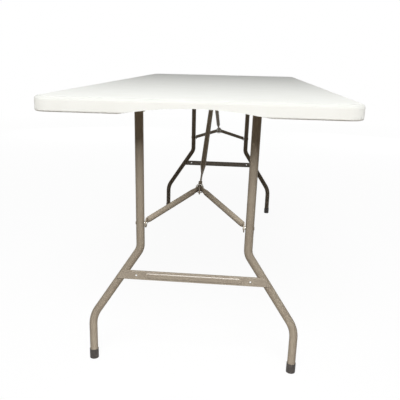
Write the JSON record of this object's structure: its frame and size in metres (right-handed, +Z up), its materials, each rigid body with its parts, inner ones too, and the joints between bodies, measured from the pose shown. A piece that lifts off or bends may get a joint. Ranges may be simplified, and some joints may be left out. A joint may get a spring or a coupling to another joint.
{
  "type": "folding table",
  "caption": "Folding table with a moulded plastic top, wishbone steel leg frames that fold flat beneath it and ring-locked diagonal braces.",
  "frame": {"origin": "on the floor, under the middle of the table", "axes": "+Z up, +Y along the table's length, with the pictured end facing -Y, +X across the table"},
  "size_m": [0.76, 1.83, 0.74],
  "materials": {
    "moulded_top": "fine-grained matte",
    "powder_coat": "satin powder coat",
    "zinc_steel": "zinc plated",
    "dark_plastic": "matte"
  },
  "bodies": {
    "table_top": {"centre_crossbar": "powder_coat", "centre_crossbar_rivets": "zinc_steel", "frame_rail_left": "powder_coat", "frame_rail_right": "powder_coat", "front_brace_bracket": "powder_coat", "front_brace_pin": "zinc_steel", "front_bracket_screws": "zinc_steel", "front_hinge_bush_left": "dark_plastic", "front_hinge_bush_right": "dark_plastic", "front_hinge_saddle_left": "powder_coat", "front_hinge_saddle_right": "powder_coat", "front_saddle_screws": "zinc_steel", "rail_screws_left": "zinc_steel", "rail_screws_right": "zinc_steel", "rear_brace_bracket": "powder_coat", "rear_brace_pin": "zinc_steel", "rear_bracket_screws": "zinc_steel", "rear_hinge_bush_left": "dark_plastic", "rear_hinge_bush_right": "dark_plastic", "rear_hinge_saddle_left": "powder_coat", "rear_hinge_saddle_right": "powder_coat", "rear_saddle_screws": "zinc_steel", "tabletop": "moulded_top"},
    "front_leg_frame": {"front_foot_cap_left": "dark_plastic", "front_foot_cap_right": "dark_plastic", "front_hinge_tube_left": "powder_coat", "front_hinge_tube_right": "powder_coat", "front_leg_crossbar": "powder_coat", "front_leg_rivets": "powder_coat", "front_leg_tube_left": "powder_coat", "front_leg_tube_right": "powder_coat"},
    "front_brace": {"front_brace": "powder_coat"},
    "front_struts": {"front_apex_rivet": "zinc_steel", "front_strut_left": "powder_coat", "front_strut_right": "powder_coat", "front_strut_rivets": "zinc_steel"},
    "front_lock_ring": {"front_lock_ring": "zinc_steel"},
    "rear_leg_frame": {"rear_foot_cap_left": "dark_plastic", "rear_foot_cap_right": "dark_plastic", "rear_hinge_tube_left": "powder_coat", "rear_hinge_tube_right": "powder_coat", "rear_leg_crossbar": "powder_coat", "rear_leg_rivets": "powder_coat", "rear_leg_tube_left": "powder_coat", "rear_leg_tube_right": "powder_coat"},
    "rear_brace": {"rear_brace": "powder_coat"},
    "rear_struts": {"rear_apex_rivet": "zinc_steel", "rear_strut_left": "powder_coat", "rear_strut_right": "powder_coat", "rear_strut_rivets": "zinc_steel"},
    "rear_lock_ring": {"rear_lock_ring": "zinc_steel"}
  },
  "joints": [
    {"name": "front_leg_fold", "type": "hinge", "parent": "table_top", "child": "front_leg_frame", "pos_m": [0, -0.7875, 0.709], "axis": [1, 0, 0], "range_deg": [0, 90]},
    {"name": "front_brace_swing", "type": "hinge", "parent": "table_top", "child": "front_brace", "pos_m": [0, -0.053, 0.703], "axis": [1, 0, 0], "range_deg": [-22.5, 0]},
    {"name": "front_strut_fold", "type": "hinge", "parent": "front_brace", "child": "front_struts", "pos_m": [0, -0.6281, 0.47729], "axis": [1, 0, 0], "range_deg": [0, 178.5]},
    {"name": "front_lock_ring_slide", "type": "slide", "parent": "front_brace", "child": "front_lock_ring", "axis": [0, 0.9309, 0.3653], "range_m": [0, 0.4145]},
    {"name": "rear_leg_fold", "type": "hinge", "parent": "table_top", "child": "rear_leg_frame", "pos_m": [0, 0.7875, 0.709], "axis": [-1, 0, 0], "range_deg": [0, 90]},
    {"name": "rear_brace_swing", "type": "hinge", "parent": "table_top", "child": "rear_brace", "pos_m": [0, 0.053, 0.703], "axis": [-1, 0, 0], "range_deg": [-22.5, 0]},
    {"name": "rear_strut_fold", "type": "hinge", "parent": "rear_brace", "child": "rear_struts", "pos_m": [0, 0.6281, 0.47729], "axis": [-1, 0, 0], "range_deg": [0, 178.5]},
    {"name": "rear_lock_ring_slide", "type": "slide", "parent": "rear_brace", "child": "rear_lock_ring", "axis": [0, -0.9309, 0.3653], "range_m": [0, 0.4145]}
  ],
  "couplings": [
    {"joint": "front_brace_swing", "follows": "front_leg_fold", "ratio": -0.24165},
    {"joint": "front_strut_fold", "follows": "front_leg_fold", "ratio": 1.9792},
    {"joint": "front_lock_ring_slide", "follows": "front_leg_fold", "m_per_rad": 0.26356},
    {"joint": "rear_brace_swing", "follows": "rear_leg_fold", "ratio": -0.24165},
    {"joint": "rear_strut_fold", "follows": "rear_leg_fold", "ratio": 1.9792},
    {"joint": "rear_lock_ring_slide", "follows": "rear_leg_fold", "m_per_rad": 0.26356}
  ]
}
